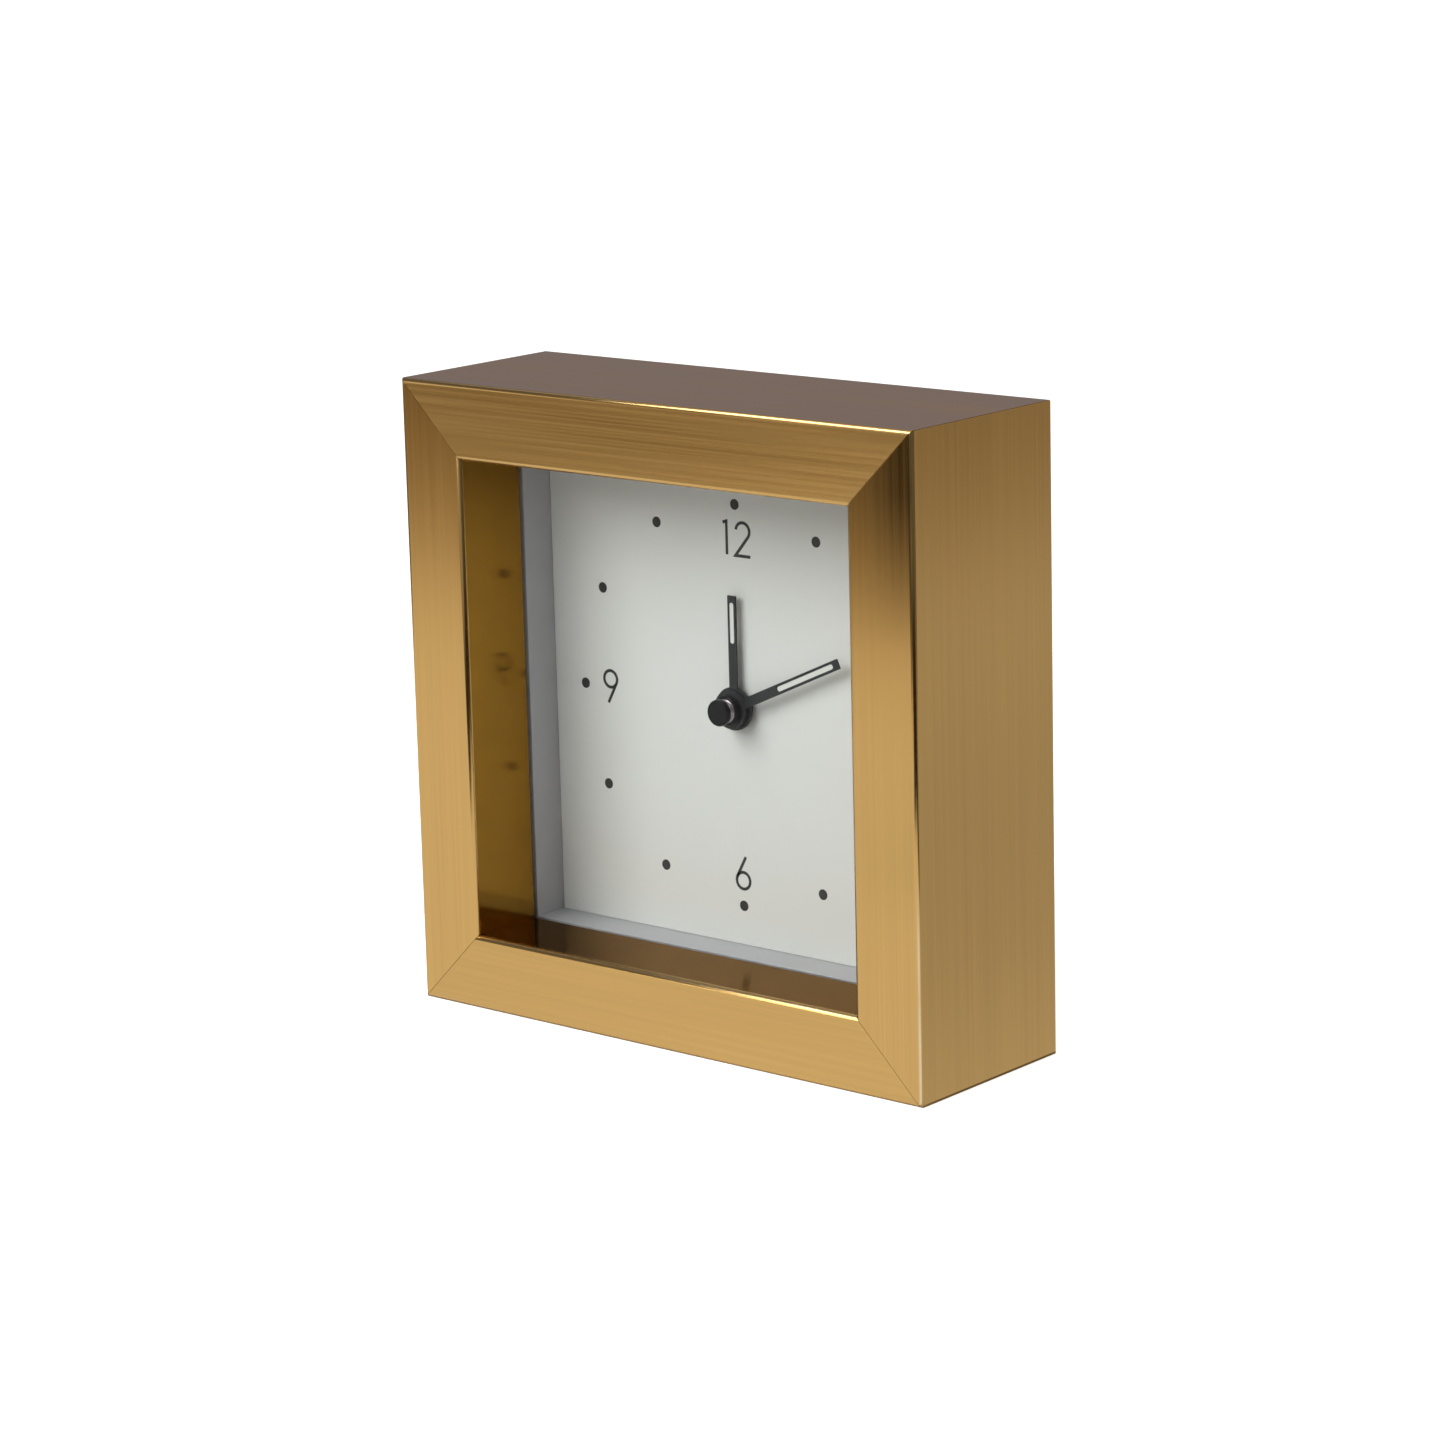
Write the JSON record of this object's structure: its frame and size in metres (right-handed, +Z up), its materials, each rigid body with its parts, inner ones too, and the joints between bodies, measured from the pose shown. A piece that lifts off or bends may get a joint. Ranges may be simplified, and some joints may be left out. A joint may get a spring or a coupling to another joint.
{
  "type": "box frame quartz clock",
  "caption": "Square desk clock: deep mitred brushed-gold box frame, recessed glass, white dial with black hands, quartz movement, hinged battery door.",
  "frame": {"origin": "middle of the footprint, on the surface that the clock stands on", "axes": "+Z up, +Y from the dial towards the back, +X to the viewer's right"},
  "size_m": [0.13, 0.0434, 0.13],
  "materials": {
    "frame_gold": "brushed along each profile, anodised champagne gold",
    "clear_glass": "polished, clear",
    "tray_white": "moulded, satin white",
    "dial_white": "printed card, satin white",
    "hand_black": "stamped, satin black",
    "inlay_white": "matte luminous fill",
    "cap_black": "moulded, semi-gloss black",
    "arbor_brass": "turned brass",
    "gear_plastic": "moulded acetal, natural white",
    "movement_black": "moulded, fine spark texture",
    "back_black": "moulded, fine leather-like grain",
    "block_grey": "moulded",
    "key_zinc": "die cast",
    "screw_steel": "zinc plated",
    "magnet_grey": "sintered",
    "core_steel": "stamped electrical steel",
    "winding_copper": "enamelled copper wire",
    "board_green": "solder mask",
    "chip_black": "epoxy",
    "can_metal": "drawn, bright",
    "contact_nickel": "nickel plated spring steel",
    "cell_wrap": null
  },
  "bodies": {
    "clock_case": {"frame_top": "frame_gold", "frame_bottom": "frame_gold", "frame_left": "frame_gold", "frame_right": "frame_gold", "corner_keys": "key_zinc", "corner_blocks": "block_grey", "front_glass": "clear_glass", "dial_tray": "tray_white", "dial_card": "dial_white", "movement_base": "movement_black", "movement_cover": "movement_black", "cover_screws": "screw_steel", "movement_screws": "screw_steel", "circuit_board": "board_green", "control_chip": "chip_black", "quartz_can": "can_metal", "coil_bobbin": "gear_plastic", "coil_winding": "winding_copper", "coil_core": "core_steel", "stator": "core_steel", "contact_positive": "contact_nickel", "contact_negative": "contact_nickel", "battery_cell": "cell_wrap", "back_panel": "back_black", "back_screws": "screw_steel"},
    "minute_arbor": {"minute_hand": "hand_black", "minute_hand_inlay": "inlay_white", "hand_cap": "cap_black", "cannon_pinion": "arbor_brass", "clutch_spring": "contact_nickel"},
    "hour_pipe": {"hour_hand": "hand_black", "hour_hand_inlay": "inlay_white", "hour_wheel": "gear_plastic"},
    "motion_wheel": {"minute_wheel": "gear_plastic"},
    "setting_stem": {"setting_pinion": "gear_plastic", "setting_knob": "back_black"},
    "rotor": {"rotor_pinion": "gear_plastic", "rotor_magnet": "magnet_grey"},
    "step_arbor": {"step_wheel": "gear_plastic"},
    "seconds_arbor": {"seconds_wheel": "gear_plastic"},
    "third_arbor": {"third_wheel": "gear_plastic"},
    "centre_drive": {"centre_wheel": "gear_plastic"},
    "battery_lid": {"battery_door": "back_black"}
  },
  "joints": [
    {"name": "minute_spin", "type": "hinge", "parent": "clock_case", "child": "minute_arbor", "pos_m": [0, 0, 0.065], "axis": [0, 1, 0], "continuous": true},
    {"name": "hour_spin", "type": "hinge", "parent": "clock_case", "child": "hour_pipe", "pos_m": [0, 0, 0.065], "axis": [0, 1, 0], "continuous": true},
    {"name": "motion_spin", "type": "hinge", "parent": "clock_case", "child": "motion_wheel", "pos_m": [0.0064, 0, 0.07268], "axis": [0, 1, 0], "continuous": true},
    {"name": "setting_spin", "type": "hinge", "parent": "clock_case", "child": "setting_stem", "pos_m": [-0.00001, 0, 0.081], "axis": [0, 1, 0], "continuous": true},
    {"name": "rotor_spin", "type": "hinge", "parent": "clock_case", "child": "rotor", "pos_m": [-0.01876, 0, 0.08684], "axis": [0, 1, 0], "continuous": true},
    {"name": "step_spin", "type": "hinge", "parent": "clock_case", "child": "step_arbor", "pos_m": [-0.01391, 0, 0.08404], "axis": [0, 1, 0], "continuous": true},
    {"name": "seconds_spin", "type": "hinge", "parent": "clock_case", "child": "seconds_arbor", "pos_m": [-0.01266, 0, 0.07695], "axis": [0, 1, 0], "continuous": true},
    {"name": "third_spin", "type": "hinge", "parent": "clock_case", "child": "third_arbor", "pos_m": [-0.00958, 0, 0.06849], "axis": [0, 1, 0], "continuous": true},
    {"name": "centre_spin", "type": "hinge", "parent": "clock_case", "child": "centre_drive", "pos_m": [0, 0, 0.065], "axis": [0, 1, 0], "continuous": true},
    {"name": "door_hinge", "type": "hinge", "parent": "clock_case", "child": "battery_lid", "pos_m": [0, 0.0206, 0.0562], "axis": [1, 0, 0], "range_deg": [0, 95]}
  ],
  "couplings": [
    {"joint": "motion_spin", "follows": "minute_spin", "ratio": -0.33333},
    {"joint": "hour_spin", "follows": "minute_spin", "ratio": 0.083333},
    {"joint": "setting_spin", "follows": "minute_spin", "ratio": 0.83333},
    {"joint": "rotor_spin", "follows": "seconds_spin", "ratio": 30},
    {"joint": "step_spin", "follows": "seconds_spin", "ratio": -5},
    {"joint": "third_spin", "follows": "seconds_spin", "ratio": -0.125},
    {"joint": "centre_spin", "follows": "seconds_spin", "ratio": 0.016667}
  ]
}
